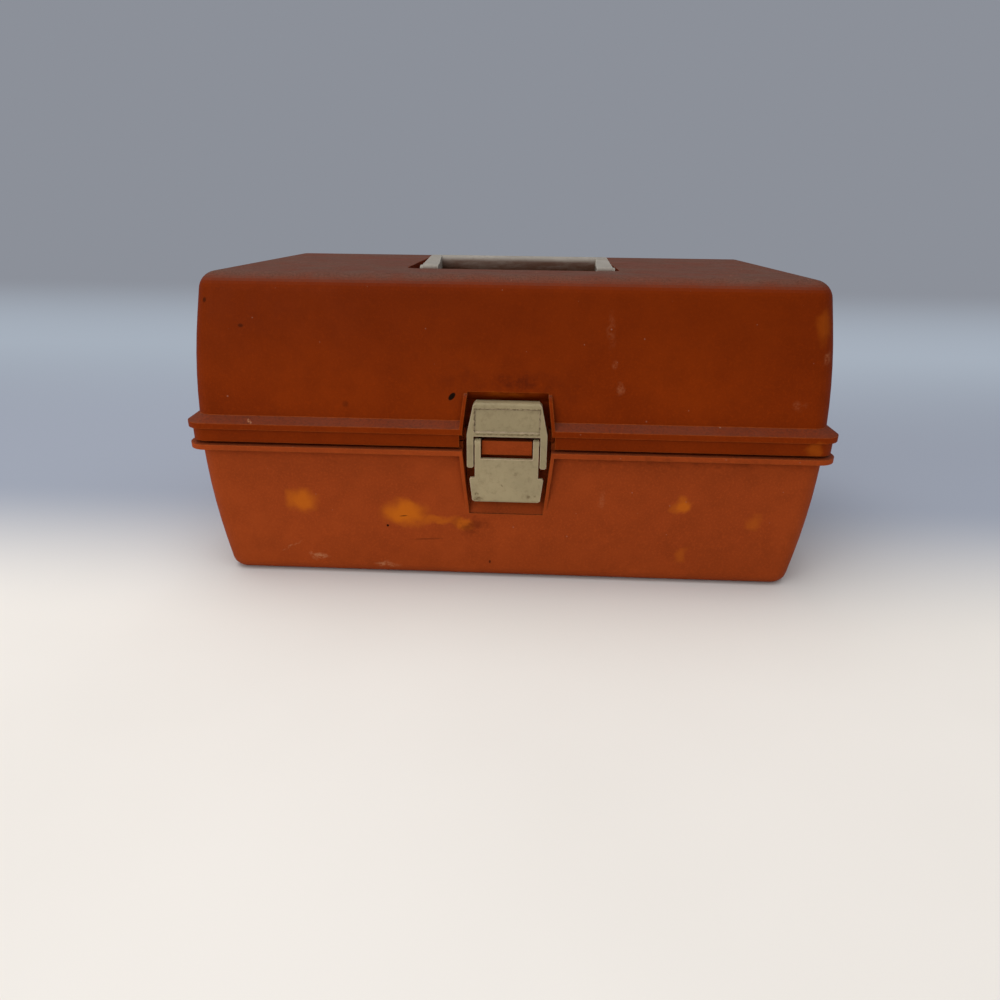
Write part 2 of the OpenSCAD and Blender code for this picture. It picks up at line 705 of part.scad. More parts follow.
// The bail: a framed cover with a top, cheeks, knuckles and two legs
module bail_outline() {
    r = 1.6;
    foot = 0.9;
    polygon([
        [-bail_top_hw + r, bail_top], [bail_top_hw - r, bail_top],
        [bail_top_hw, bail_top - r],
        [bail_hw, bail_bar + 1.5],
        [bail_hw, bail_low + foot], [bail_hw - foot, bail_low],
        [bail_hw - bail_leg_w + foot, bail_low], [bail_hw - bail_leg_w, bail_low + foot],
        [bail_hw - bail_leg_w, bail_bar],
        [-bail_hw + bail_leg_w, bail_bar],
        [-bail_hw + bail_leg_w, bail_low + foot], [-bail_hw + bail_leg_w - foot, bail_low],
        [-bail_hw + foot, bail_low], [-bail_hw, bail_low + foot],
        [-bail_hw, bail_bar + 1.5],
        [-bail_top_hw, bail_top - r]
    ]);
}
module latch_bail() {
    leg_back = lever_axis[0] + lever_boss_r;
    color(cream) difference() {
        union() {
            along_y(latch_face, latch_back) bail_outline();
            intersection() {
                along_y(latch_face, bail_axis[0] - 0.5) bail_outline();
                union() {
                    both_sides() translate([cheek_x, latch_face, bail_bar])
                        cube([bail_leg_w + 4, bail_depth, bail_cover_h]);
                    both_sides() translate([bail_hw - bail_leg_w, latch_face, bail_low])
                        cube([bail_leg_w, leg_back - latch_face, bail_leg_h + 1]);
                }
            }
            translate([-bail_top_hw + 1.6, latch_face, bail_top - bail_lip_t])
                cube([2 * bail_top_hw - 3.2, bail_depth, bail_lip_t]);
            both_sides() {
                rod(bail_axis, latch_knuckle_r, centre_knuckle_hw + move_gap, cheek_x + eps);
                translate([centre_knuckle_hw + move_gap, bail_axis[0] - latch_knuckle_r, bail_axis[1]])
                    cube([cheek_x - centre_knuckle_hw - move_gap + eps, latch_knuckle_r,
                        bail_top - bail_axis[1] - 0.5]);
            }
        }
        along_y(latch_face - 1, latch_face + panel_depth) polygon([
            [-bail_top_hw + 1.4, bail_top - panel_top], [bail_top_hw - 1.4, bail_top - panel_top],
            [bail_hw - 5, bail_bar + panel_border], [-bail_hw + 5, bail_bar + panel_border]
        ]);
        both_sides() rod(bail_axis, latch_pin_r + pin_fit, centre_knuckle_hw, cheek_x);
        both_sides() rod(lever_axis, stub_r + pin_fit, bail_hw - bail_leg_w - 1, bail_hw - 1);
        edge_cut(bail_top, 1);
    }
}

// The lever: two arms with stub axles, and a plate with a rim behind its edge
module lever_outline() {
    r = 1.8;
    shoulder = lever_axis[1] - lever_neck_l;
    side_lean = (bail_hw - 1.7 - lever_end_hw) / (shoulder - 1.1 - lever_low);
    polygon([
        [lever_hw, lever_axis[1]],
        [lever_hw, shoulder],
        [bail_hw - 2.3, shoulder - 0.3],
        [bail_hw - 1.7, shoulder - 1.1],
        [lever_end_hw + r * side_lean, lever_low + r], [lever_end_hw - r, lever_low],
        [-lever_end_hw + r, lever_low], [-lever_end_hw - r * side_lean, lever_low + r],
        [-bail_hw + 1.7, shoulder - 1.1],
        [-bail_hw + 2.3, shoulder - 0.3],
        [-lever_hw, shoulder],
        [-lever_hw, lever_axis[1]],
        [-window_hw, lever_axis[1]],
        [-window_hw, window_z],
        [window_hw, window_z],
        [window_hw, lever_axis[1]]
    ]);
}
module latch_lever() {
    rim_back = latch_back + 2.6;
    rim_t = 2;
    rim_h = 17;
    color(cream) difference() {
        union() {
            along_y(latch_face, latch_back) lever_outline();
            both_sides() {
                rod(lever_axis, lever_boss_r, window_hw, lever_hw);
                rod(lever_axis, stub_r, window_hw + 1, bail_hw - 1.4);
                // Fillet of the arm behind the boss
                along_x(window_hw, lever_hw) polygon([
                    [latch_back - 0.5, window_z],
                    [latch_back + 0.6, window_z],
                    [lever_axis[0] + lever_boss_r * cos(30), lever_axis[1] - lever_boss_r * sin(30)],
                    [latch_back - 0.5, lever_axis[1]]
                ]);
            }
            difference() {
                intersection() {
                    along_y(latch_face, rim_back) lever_outline();
                    translate([-bail_hw, latch_face, lever_low - 1])
                        cube([2 * bail_hw, rim_back - latch_face + 1, rim_h]);
                }
                translate([-lever_end_hw + rim_t, latch_face - 1, lever_low + rim_t])
                    cube([2 * (lever_end_hw - rim_t), rim_back - latch_face + 2, rim_h + 1]);
            }
        }
        edge_cut(lever_low, -1);
    }
}
module latch_pin() {
    color(steel) rod(bail_axis, latch_pin_r, -cheek_x + 0.1, cheek_x - 0.1);
}

// The handle: a round grip on two flat arms, with collars and pins at the eyes
module handle_arm_outline() {
    run = grip_axis - handle_axis;
    tilt = atan2(run[1], run[0]);
    spread = asin((grip_r - handle_eye_r) / norm(run));
    up = [cos(tilt + 90 + spread), sin(tilt + 90 + spread)];
    down = [cos(tilt - 90 - spread), sin(tilt - 90 - spread)];
    translate(handle_axis) circle(r = handle_eye_r);
    translate(grip_axis) circle(r = grip_r);
    polygon([
        handle_axis + handle_eye_r * up, grip_axis + grip_r * up,
        grip_axis + grip_r * down, handle_axis + handle_eye_r * down
    ]);
}
// An arm as its side shows it, cut to the taper that its top shows
module handle_arm() {
    outer = handle_w / 2;
    front = handle_axis[0] - handle_eye_r - 1;
    rear = grip_axis[0] + grip_r + 1;
    intersection() {
        along_x(outer - handle_arm_w, outer) handle_arm_outline();
        translate([0, 0, well_z]) linear_extrude(2 * well_depth) polygon([
            [outer - handle_arm_w, front], [outer - handle_arm_w, handle_axis[0] + handle_eye_r],
            [outer - handle_arm_top_w, grip_axis[0]], [outer - handle_arm_top_w, rear],
            [outer, rear], [outer, front]
        ]);
    }
}
module handle() {
    pin_end = well_s.x + wall + handle_boss_t - 1.4;
    color(cream) {
        translate([handle_shift, 0, 0]) {
            both_sides() {
                handle_arm();
                rod(handle_axis, handle_eye_r - 0.5, handle_w / 2 - 1, handle_w / 2 + handle_collar_l);
            }
            rod(grip_axis, grip_r, handle_arm_top_w / 2 - handle_w / 2, handle_w / 2 - handle_arm_top_w / 2);
        }
        rod(handle_axis, handle_pin_r, handle_w / 2 + handle_shift - 1, pin_end);
        rod(handle_axis, handle_pin_r, -pin_end, handle_shift - handle_w / 2 + 1);
    }
}

// Divider positions along a tray with n columns
function divider_x(n) = [for (i = [1:n - 1]) -tray_hw + i * 2 * tray_hw / n];
// The two rows of a tray as [front, rear]
rows = [
    [-tray_front + tray_rim + tray_t, -partition_y - tray_t / 2],
    [-partition_y + tray_t / 2, tray_rear - tray_rim - tray_t]
];
tray_mid_y = (tray_rear - tray_front) / 2;
tray_s = [tray_hw, (tray_rear + tray_front) / 2 - tray_rim];

// A tray with its rim, long partition and divider slots
module tray(k) {
    z = tray_floor_z(k);
    slot = divider_t / 2 + slot_gap;
    color(bone) difference() {
        union() {
            difference() {
                translate([0, tray_mid_y, 0]) {
                    block(tray_s, tray_r, z, tray_h);
                    block([tray_s.x, tray_s.y + tray_rim], tray_r, z + tray_h - 2.4, 2.4);
                }
                for (row = rows)
                    translate([0, (row[0] + row[1]) / 2, 0])
                        block([tray_hw - tray_t, (row[1] - row[0]) / 2], tray_r - tray_t,
                            z + tray_t, tray_h);
            }
            for (row = rows, x = divider_x(columns[k]), side = [-1, 1], end = [0, 1])
                translate([x + side * (slot + slot_rib / 2) - slot_rib / 2,
                    row[end] - (end ? slot_rib : 0.4), z + tray_t - eps])
                    cube([slot_rib, slot_rib + 0.4, tray_h - tray_t - 3]);
        }
        for (p = [tray_pivot(k), tray_pivot(k) - [arm_pitch, 0]])
            both_sides() rod(p, rivet_r + pin_fit, tray_hw - tray_t - 1, tray_hw + 1);
    }
}
module tray_lower() { tray(0); }
module tray_middle() { tray(1); }
module tray_upper() { tray(2); }

// Loose dividers that stand in a tray's slots
module dividers(k) {
    color(bone) for (row = rows, x = divider_x(columns[k]))
        translate([x - divider_t / 2, row[0] + slot_gap, tray_floor_z(k) + tray_t])
            cube([divider_t, row[1] - row[0] - 2 * slot_gap, tray_h - tray_t - 3]);
}
module tray_lower_dividers() { dividers(0); }
module tray_middle_dividers() { dividers(1); }
module tray_upper_dividers() { dividers(2); }

// A flat strip with round ends between two pivots, drilled at given distances
module strip(p, dir, len, w, x0, x1, holes) {
    turn = atan2(dir[1], dir[0]);
    along_x(x0, x1) difference() {
        union() {
            translate(p) circle(r = w / 2);
            translate(p + len * dir) circle(r = w / 2);
            translate(p) rotate(turn) translate([0, -w / 2]) square([len, w]);
        }
        for (d = holes) translate(p + d * dir) circle(r = rivet_r + pin_fit);
    }
}
module arm(p, side, holes) {
    color(steel) mirror([side < 0 ? 1 : 0, 0, 0])
        strip(p, arm_dir, arm_r3, arm_w, arm_in, arm_out, concat([0], arm_radii, holes));
}
module arm_front_left() { arm(front_pivot, -1, []); }
module arm_rear_left() { arm(rear_pivot, -1, [link_r]); }
module arm_front_right() { arm(front_pivot, 1, []); }
module arm_rear_right() { arm(rear_pivot, 1, [link_r]); }

module link(side) {
    color(steel) mirror([side < 0 ? 1 : 0, 0, 0])
        strip(link_arm_pivot, link_vector / norm(link_vector), norm(link_vector), link_w,
            link_in, link_out, [0, norm(link_vector)]);
}
module link_left() { link(-1); }
module link_right() { link(1); }

// Rivets: a shank with a head at either end, along X
module tub_rivets() {
    color(steel) for (p = [front_pivot, rear_pivot]) both_sides() {
        rod(p, rivet_r, arm_in - move_gap / 2 - head_t, boss_face + hole_depth - 0.3);
        rod(p, head_r, arm_in - move_gap / 2 - head_t, arm_in - move_gap / 2);
    }
}
module tray_rivets(k) {
    color(steel) for (p = [tray_pivot(k), tray_pivot(k) - [arm_pitch, 0]]) both_sides() {
        rod(p, rivet_r, tray_hw - tray_t - head_t, head_in + head_t);
        rod(p, head_r, tray_hw - tray_t - head_t, tray_hw - tray_t);
        rod(p, head_r, head_in, head_in + head_t);
    }
}
module tray_lower_rivets() { tray_rivets(0); }
module tray_middle_rivets() { tray_rivets(1); }
module tray_upper_rivets() { tray_rivets(2); }

// The link's rivet is flush inside the arm and has a collar between the two
module link_rivet(side) {
    color(steel) mirror([side < 0 ? 1 : 0, 0, 0]) {
        rod(link_arm_pivot, rivet_r, arm_in, link_out + move_gap / 2 + head_t);
        rod(link_arm_pivot, head_r, arm_out, link_in - move_gap / 2);
        rod(link_arm_pivot, head_r, link_out + move_gap / 2, link_out + move_gap / 2 + head_t);
    }
}
module link_rivet_left() { link_rivet(-1); }
module link_rivet_right() { link_rivet(1); }
module lid_rivets() {
    color(steel) both_sides() {
        rod(link_lid_pivot, rivet_r, link_in - move_gap / 2 - head_t, lid_boss_face + hole_depth - 0.3);
        rod(link_lid_pivot, head_r, link_in - move_gap / 2 - head_t, link_in - move_gap / 2);
    }
}

base_tub();
lid_shell();
hinge_pin_left();
hinge_pin_right();
latch_bail();
latch_lever();
latch_pin();
handle();
tray_lower();
tray_middle();
tray_upper();
tray_lower_dividers();
tray_middle_dividers();
tray_upper_dividers();
arm_front_left();
arm_rear_left();
arm_front_right();
arm_rear_right();
link_left();
link_right();
tub_rivets();
tray_lower_rivets();
tray_middle_rivets();
tray_upper_rivets();
link_rivet_left();
link_rivet_right();
lid_rivets();
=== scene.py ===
"""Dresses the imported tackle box: materials, floor, light and camera."""

import json
import math

import bpy
from mathutils import Matrix, Vector

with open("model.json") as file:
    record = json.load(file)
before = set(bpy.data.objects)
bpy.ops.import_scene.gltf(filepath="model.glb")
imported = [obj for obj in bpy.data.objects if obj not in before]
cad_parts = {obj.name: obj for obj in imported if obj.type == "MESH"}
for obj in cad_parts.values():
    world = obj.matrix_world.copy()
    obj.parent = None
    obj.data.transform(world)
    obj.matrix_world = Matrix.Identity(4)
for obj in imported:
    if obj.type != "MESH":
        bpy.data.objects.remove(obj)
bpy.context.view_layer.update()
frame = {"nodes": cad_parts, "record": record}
nodes = frame["nodes"]
MM = 0.001
# Refractive index of the plastics
PLASTIC_IOR = 1.49


class Graph:
    """The node tree of a material or world, with short calls for the nodes used here."""

    def __init__(self, owner):
        self.owner = bpy.data.materials.new(owner) if isinstance(owner, str) else owner
        self.owner.use_nodes = True
        self.tree = self.owner.node_tree
        self.tree.nodes.clear()
        coordinates = self.add("ShaderNodeTexCoord")
        self.place = coordinates.outputs["Object"]
        self.facing = coordinates.outputs["Normal"]

    def add(self, kind, **settings):
        node = self.tree.nodes.new(kind)
        for key, value in settings.items():
            setattr(node, key, value)
        return node

    def feed(self, socket, value):
        if isinstance(value, bpy.types.NodeSocket):
            self.tree.links.new(value, socket)
        elif value is not None:
            socket.default_value = value

    def math(self, operation, a, b=None, clamp=False):
        node = self.add("ShaderNodeMath", operation=operation, use_clamp=clamp)
        self.feed(node.inputs[0], a)
        self.feed(node.inputs[1], b)
        return node.outputs[0]

    def vector(self, operation, a, b=None):
        node = self.add("ShaderNodeVectorMath", operation=operation)
        self.feed(node.inputs[0], a)
        self.feed(node.inputs[1], b)
        return node.outputs["Value" if operation in ("LENGTH", "DOT_PRODUCT") else "Vector"]

    def parts(self, vector):
        """The X, Y and Z of a vector."""
        node = self.add("ShaderNodeSeparateXYZ")
        self.feed(node.inputs[0], vector)
        return node.outputs

    def ramp(self, value, low, high, to_low=0.0, to_high=1.0):
        """A smooth step from to_low to to_high as the value goes from low to high."""
        node = self.add("ShaderNodeMapRange", interpolation_type="SMOOTHSTEP")
        for name, x in (("Value", value), ("From Min", low), ("From Max", high),
                        ("To Min", to_low), ("To Max", to_high)):
            self.feed(node.inputs[name], x)
        return node.outputs["Result"]

    def noise(self, scale, detail=3.0, roughness=0.5, stretch=None, colour=False):
        place = self.place if stretch is None else self.vector("MULTIPLY", self.place, stretch)
        node = self.add("ShaderNodeTexNoise")
        self.feed(node.inputs["Vector"], place)
        self.feed(node.inputs["Scale"], scale)
        self.feed(node.inputs["Detail"], detail)
        self.feed(node.inputs["Roughness"], roughness)
        return node.outputs["Color" if colour else "Fac"]

    def specks(self, scale, size, share):
        """Round spots in a share of the cells of a grid with that many cells per metre."""
        cells = self.add("ShaderNodeTexVoronoi")
        self.feed(cells.inputs["Vector"], self.place)
        self.feed(cells.inputs["Scale"], scale)
        parts = self.add("ShaderNodeSeparateColor")
        self.feed(parts.inputs[0], cells.outputs["Color"])
        chosen = self.math("LESS_THAN", parts.outputs[0], share)
        radius = self.math("MULTIPLY", parts.outputs[1], size)
        return self.math("MULTIPLY", chosen, self.math("LESS_THAN", cells.outputs["Distance"], radius))

    def mix(self, share, a, b, blend="MIX"):
        node = self.add("ShaderNodeMix", data_type="RGBA", blend_type=blend)
        self.feed(node.inputs[0], share)
        self.feed(node.inputs[6], a if isinstance(a, bpy.types.NodeSocket) else (*a, 1.0))
        self.feed(node.inputs[7], b if isinstance(b, bpy.types.NodeSocket) else (*b, 1.0))
        return node.outputs[2]

    def most(self, values):
        """The largest of several values."""
        out = values[0]
        for value in values[1:]:
            out = self.math("MAXIMUM", out, value)
        return out

    def wobbled(self, scale, reach):
        """The place, shifted by noise of that scale over that many metres, for ragged outlines."""
        offset = self.vector("SUBTRACT", self.noise(scale, 3, colour=True), (0.5, 0.5, 0.5))
        return self.vector("ADD", self.place, self.vector("MULTIPLY", offset, (reach, reach, reach)))

    def blot(self, place, middle, radii, strength, soft=0.25, turn=0.0):
        """A spot round a middle, with half sizes in millimetres, turned about Y in degrees.
        It has its full strength out to the soft share of those sizes, and none at their end."""
        offset = self.vector("SUBTRACT", place, [v * MM for v in middle])
        if turn:
            node = self.add("ShaderNodeVectorRotate", rotation_type="Y_AXIS")
            self.feed(node.inputs["Vector"], offset)
            node.inputs["Angle"].default_value = math.radians(turn)
            offset = node.outputs[0]
        scaled = self.vector("MULTIPLY", offset, [1 / (v * MM) for v in radii])
        return self.ramp(self.vector("LENGTH", scaled), 1.0, soft, 0.0, strength)

    def edges(self, radius):
        """The rounded normal along sharp edges, and where those edges are."""
        bevel = self.add("ShaderNodeBevel", samples=4)
        bevel.inputs["Radius"].default_value = radius
        geometry = self.add("ShaderNodeNewGeometry")
        along = self.vector("DOT_PRODUCT", bevel.outputs[0], geometry.outputs["Normal"])
        return bevel.outputs[0], self.ramp(along, 0.998, 0.92)

    def crevices(self, distance):
        """Where faces of the same piece close in on the surface within that distance."""
        node = self.add("ShaderNodeAmbientOcclusion", samples=4, only_local=True)
        node.inputs["Distance"].default_value = distance
        return self.ramp(node.outputs["AO"], 0.75, 0.25)

    def upward(self, low, high):
        """Where the surface faces up, from the low to the high height of its normal."""
        return self.ramp(self.parts(self.facing)["Z"], low, high)

    def bump(self, height, depth, normal=None, strength=1.0):
        node = self.add("ShaderNodeBump")
        node.inputs["Strength"].default_value = strength
        node.inputs["Distance"].default_value = depth
        self.feed(node.inputs["Height"], height)
        self.feed(node.inputs["Normal"], normal)
        return node.outputs[0]

    def finish(self, colour, roughness, normal, **constants):
        shader = self.add("ShaderNodeBsdfPrincipled")
        self.feed(shader.inputs["Base Color"], colour)
        self.feed(shader.inputs["Roughness"], roughness)
        self.feed(shader.inputs["Normal"], normal)
        for name, value in constants.items():
            shader.inputs[name.replace("_", " ")].default_value = value
        return self.output(shader)

    def output(self, shader, kind="ShaderNodeOutputMaterial"):
        self.tree.links.new(shader.outputs[0], self.add(kind).inputs["Surface"])
        return self.owner


# What lies on the orange shells or has changed their colour
BLEACHED_AND_PAINTED_LIGHT = (0.485, 0.112, 0.006)
SCUFF = (0.42, 0.16, 0.07)
CORNER_DIRT_AND_SHADE = (0.075, 0.008, 0.002)
HAND_GRIME_AND_SHADE = (0.052, 0.006, 0.0015)
DARK_SPOT = (0.008, 0.003, 0.001)
RUBBED_AND_LIT_EDGE = (0.36, 0.075, 0.012)
DUST_AND_SHEEN = (0.112, 0.070, 0.053)
DUST_GRAIN = (0.046, 0.018, 0.010)
CRUMB = (0.34, 0.20, 0.14)
SCRATCH = (0.34, 0.12, 0.055)


def orange(name, light, deep, dust_and_sheen_share, stains_and_painted_light, marks, spots, smudges_and_shade):
    """Weathered moulded plastic. The lists place its stains and patches of painted light, pale scuffs,
    dark spots, and smudges and patches of painted shade.
    """
    g = Graph(name)
    warped = g.wobbled(110, 11 * MM)
    broken = g.ramp(g.noise(420, 4, 0.7), 0.35, 0.62)

    colour = g.mix(g.ramp(g.noise(9, 5, 0.6), 0.3, 0.7), light, deep)
    colour = g.mix(g.ramp(g.noise(75, 6, 0.65), 0.35, 0.75, 0.0, 0.30), colour, [c * 0.65 for c in deep])
    colour = g.mix(g.ramp(g.noise(700, 3, 0.7), 0.45, 0.75, 0.0, 0.30), colour, [c * 1.5 for c in light])
    height = g.parts(g.place)["Z"]
    # Painted shade: darker towards the top, from 120 mm up to 195 mm
    colour = g.mix(g.ramp(height, 120 * MM, 195 * MM, 0.0, 0.40), colour, [c * 0.62 for c in deep])

    # Sunlight and solvents have bleached a few patches to a yellower orange; the same colour is also
    # used as painted light where a patch lightens shade
    bleached_and_painted_light = g.most([g.blot(warped, *s) for s in stains_and_painted_light])
    colour = g.mix(bleached_and_painted_light, colour, BLEACHED_AND_PAINTED_LIGHT)
    scuffed = g.math("MULTIPLY", broken, g.most([g.blot(warped, *s) for s in marks]))
    colour = g.mix(scuffed, colour, SCUFF)

    # Dirt and painted shade in the corners, what grimy hands left round the latch, painted shade in the
    # gaps beside the latch bail, and small dark spots
    # Painted shade and dirt: darker where faces of the same piece close in
    patchy = g.ramp(g.noise(160, 4, 0.7), 0.25, 0.6, 0.20, 0.70)
    crevice = g.math("MULTIPLY", g.crevices(6 * MM), patchy)
    colour = g.mix(crevice, colour, CORNER_DIRT_AND_SHADE)
    smudged_and_shaded = g.most([g.blot(warped, *s) for s in smudges_and_shade])
    grime_and_shade = g.math("MULTIPLY", g.ramp(g.noise(130, 5, 0.7), 0.35, 0.7), smudged_and_shaded)
    colour = g.mix(grime_and_shade, colour, HAND_GRIME_AND_SHADE)
    dark = g.most([g.blot(g.place, *s) for s in spots] + [g.specks(60, 0.06, 0.12)])
    colour = g.mix(dark, colour, DARK_SPOT)

    # Edges brighter: rubbed to a paler orange, and a painted highlight along them
    rounded, edge = g.edges(0.8 * MM)
    worn_and_lit = g.math("MULTIPLY", edge, g.ramp(g.noise(240, 4, 0.6), 0.35, 0.6, 0.45, 0.95))
    colour = g.mix(worn_and_lit, colour, RUBBED_AND_LIT_EDGE)

    # Dust with a painted sheen on what faces up: a greyish film with grains in it, thick on the lid's
    # top and thin on the flanges, and a few pale crumbs on every face
    up = g.upward(0.45, 0.99)
    thick = g.ramp(height, 150 * MM, 195 * MM, 0.45, 1.0)
    film = g.math("MULTIPLY", up, g.ramp(g.noise(38, 5, 0.6), 0.3, 0.7, 0.45, 0.75))
    grains = g.math("MULTIPLY", up, g.ramp(g.noise(850, 3, 0.8), 0.47, 0.60))
    dust_and_sheen = g.math("MULTIPLY", g.math("MULTIPLY", film, thick), dust_and_sheen_share)
    colour = g.mix(dust_and_sheen, colour, DUST_AND_SHEEN)
    colour = g.mix(g.math("MULTIPLY", grains, 0.55), colour, DUST_GRAIN)
    settled = g.math("ADD", g.math("MULTIPLY", up, 0.5), 0.30)
    crumbs = g.math("MULTIPLY", g.specks(190, 0.12, 0.14), settled)
    colour = g.mix(crumbs, colour, CRUMB)

    # Fine scratches, mostly level from sliding on shelves
    level = g.ramp(g.noise(34, 6, 0.75, stretch=(1.0, 1.0, 26.0)), 0.69, 0.73, 0.0, 0.25)
    slanted = g.ramp(g.noise(30, 6, 0.75, stretch=(17.0, 17.0, 1.6)), 0.72, 0.75, 0.0, 0.2)
    scratch = g.math("MAXIMUM", level, slanted)
    colour = g.mix(scratch, colour, SCRATCH)

    rough = g.ramp(g.noise(60, 5, 0.6), 0.3, 0.7, 0.44, 0.58)
    rough = g.math("ADD", rough, g.math("MULTIPLY", dust_and_sheen, 0.30))
    rough = g.math("SUBTRACT", rough, g.math("MULTIPLY", worn_and_lit, 0.10), clamp=True)
    relief = g.math("ADD", g.noise(1500, 2), g.math("MULTIPLY", scratch, -1.2))
    normal = g.bump(relief, 0.03 * MM, g.bump(g.noise(14, 2), 1.2 * MM, rounded, 0.35), 0.6)
    return g.finish(colour, rough, normal, Specular_IOR_Level=0.03, IOR=PLASTIC_IOR)


def cream(name, base, pale, dirt, grime_share, grooves=(), spots=(), under=None):
    """Aged moulded plastic with dirt in its edges and recesses. Grooves are [z, half height, half
    width] frames round a panel, spots are blots of dirt, and under is painted shade on the sides below
    the top."""
    g = Graph(name)
    warped = g.wobbled(400, 2.2 * MM)
    colour = g.mix(g.ramp(g.noise(40, 5, 0.6), 0.3, 0.7), base, [c * 0.86 for c in base])
    colour = g.mix(g.ramp(g.noise(260, 5, 0.7), 0.45, 0.78, 0.0, 0.35), colour, dirt)
    if under:
        # Painted shade on the front-facing sides below the top, broken by streaks
        facing = g.parts(g.facing)
        side = g.math("MULTIPLY", g.ramp(facing["Z"], 0.98, 0.45), g.ramp(facing["X"], 0.9, 0.4))
        side = g.math("MULTIPLY", side, g.ramp(facing["Y"], 0.2, -0.2))
        streaks = g.ramp(g.noise(120, 5, 0.7, stretch=(0.25, 1.0, 1.0)), 0.3, 0.65, 0.75, 1.0)
        colour = g.mix(g.math("MULTIPLY", side, streaks), colour, under)
    # Edges paler: rubbed wear and a painted highlight along them
    rounded, edge = g.edges(1.0 * MM)
    worn_and_lit = g.math("MULTIPLY", edge, g.ramp(g.noise(300, 4), 0.35, 0.6, 0.45, 1.0))
    colour = g.mix(worn_and_lit, colour, pale)
    patchy = g.ramp(g.noise(420, 4, 0.7), 0.25, 0.6, 0.35, 1.0)
    crevice = g.math("MULTIPLY", g.crevices(2.2 * MM), patchy)
    masks = [g.math("MULTIPLY", crevice, grime_share)]
    broken = g.ramp(g.noise(650, 4, 0.7), 0.36, 0.56, 0.10, 0.85)
    place = g.parts(warped)
    for z, half_height, half_width in grooves:
        across = g.math("SUBTRACT", g.math("ABSOLUTE", place["X"]), half_width * MM)
        middle = g.math("ABSOLUTE", g.math("SUBTRACT", place["Z"], z * MM))
        down = g.math("SUBTRACT", middle, half_height * MM)
        line = g.math("ABSOLUTE", g.math("MAXIMUM", across, down))
        masks.append(g.math("MULTIPLY", broken, g.ramp(line, 0.7 * MM, 0.15 * MM)))
    spotty = g.ramp(g.noise(500, 4, 0.7), 0.38, 0.60)
    masks += [g.math("MULTIPLY", g.blot(warped, *s), spotty) for s in spots]
    colour = g.mix(g.most(masks), colour, dirt)
    colour = g.mix(g.math("MULTIPLY", g.specks(260, 0.14, 0.10), 0.6), colour, [c * 0.35 for c in dirt])
    rough = g.ramp(g.noise(90, 5, 0.6), 0.3, 0.7, 0.46, 0.62)
    normal = g.bump(g.noise(1400, 2), 0.03 * MM, rounded, 0.6)
    return g.finish(colour, rough, normal, Specular_IOR_Level=0.2, IOR=PLASTIC_IOR)


def tray_plastic():
    """Smooth cream plastic that tackle has stained and scratched."""
    g = Graph("tray_plastic")
    colour = g.mix(g.ramp(g.noise(14, 4, 0.6), 0.3, 0.7), (0.56, 0.49, 0.36), (0.48, 0.41, 0.28))
    stain = g.ramp(g.noise(55, 6, 0.7), 0.56, 0.74, 0.0, 0.35)
    colour = g.mix(stain, colour, (0.30, 0.20, 0.11))
    rounded, edge = g.edges(0.4 * MM)
    colour = g.mix(g.math("MULTIPLY", edge, 0.4), colour, (0.68, 0.62, 0.50))
    colour = g.mix(g.math("MULTIPLY", g.crevices(6 * MM), 0.55), colour, (0.20, 0.14, 0.08))
    colour = g.mix(g.math("MULTIPLY", g.specks(160, 0.10, 0.06), 0.6), colour, (0.10, 0.07, 0.05))
    scratch = g.ramp(g.noise(60, 6, 0.75, stretch=(1.0, 14.0, 3.0)), 0.68, 0.73, 0.0, 0.3)
    rough = g.math("ADD", g.ramp(g.noise(70, 4), 0.3, 0.7, 0.30, 0.44), g.math("MULTIPLY", scratch, 0.4))
    normal = g.bump(g.noise(900, 2), 0.02 * MM, rounded, 0.5)
    return g.finish(colour, rough, normal, Specular_IOR_Level=0.4, IOR=PLASTIC_IOR)


def steel():
    """Rolled steel strip and wire with a little rust."""
    g = Graph("rolled_steel")
    rolled = g.noise(70, 4, 0.6, stretch=(1.0, 3.0, 16.0))
    colour = g.mix(g.ramp(rolled, 0.3, 0.7), (0.52, 0.52, 0.50), (0.40, 0.40, 0.39))
    rust = g.math("MULTIPLY", g.ramp(g.noise(90, 6, 0.7), 0.60, 0.72), g.ramp(g.noise(900, 3), 0.4, 0.6))
    colour = g.mix(g.math("MULTIPLY", rust, 0.7), colour, (0.16, 0.06, 0.025))
    rounded, edge = g.edges(0.25 * MM)
    colour = g.mix(g.math("MULTIPLY", edge, 0.5), colour, (0.66, 0.66, 0.64))
    rough = g.math("ADD", g.ramp(rolled, 0.3, 0.7, 0.30, 0.46), g.math("MULTIPLY", rust, 0.3))
    normal = g.bump(rolled, 0.02 * MM, rounded, 0.4)
    return g.finish(colour, rough, normal, Metallic=1.0)


# Where the marks are, in millimetres: middle, half sizes, strength, softness, turn
tub_stains = [
    ((-141, -116, 57.5), (14, 40, 12), 0.75),
    ((-70, -116, 49.0), (21, 40, 13), 0.95),
    ((-50, -116, 45.0), (22, 40, 5), 0.50),
    ((-30, -116, 43.0), (10, 40, 5), 0.65),
    ((118.5, -116, 60.7), (9, 40, 7.5), 0.75),
    ((168.5, -116, 49.3), (8, 40, 8), 0.28, 0.25, 35),
    ((122, -115, 23.5), (5, 40, 10), 0.30, 0.25, -25),
]
tub_marks = [
    ((-133.5, -114, 13.4), (9, 40, 4.0), 0.8),
    ((-85, -114, 9.0), (11, 40, 3.0), 0.8),
    ((-153.5, -115, 20.5), (12, 40, 1.0), 0.5, 0.2, 27),
    ((66, -116, 62), (4, 40, 9), 0.20),
]
tub_spots = [
    ((-71, -117, 47.5), (3.4, 10, 0.45), 0.8, 0.5, 6),
    ((-55, -116, 30), (16, 40, 1.0), 0.30, 0.3, 4),
    ((-11, -115, 13), (0.9, 10, 1.5), 0.7, 0.6),
]
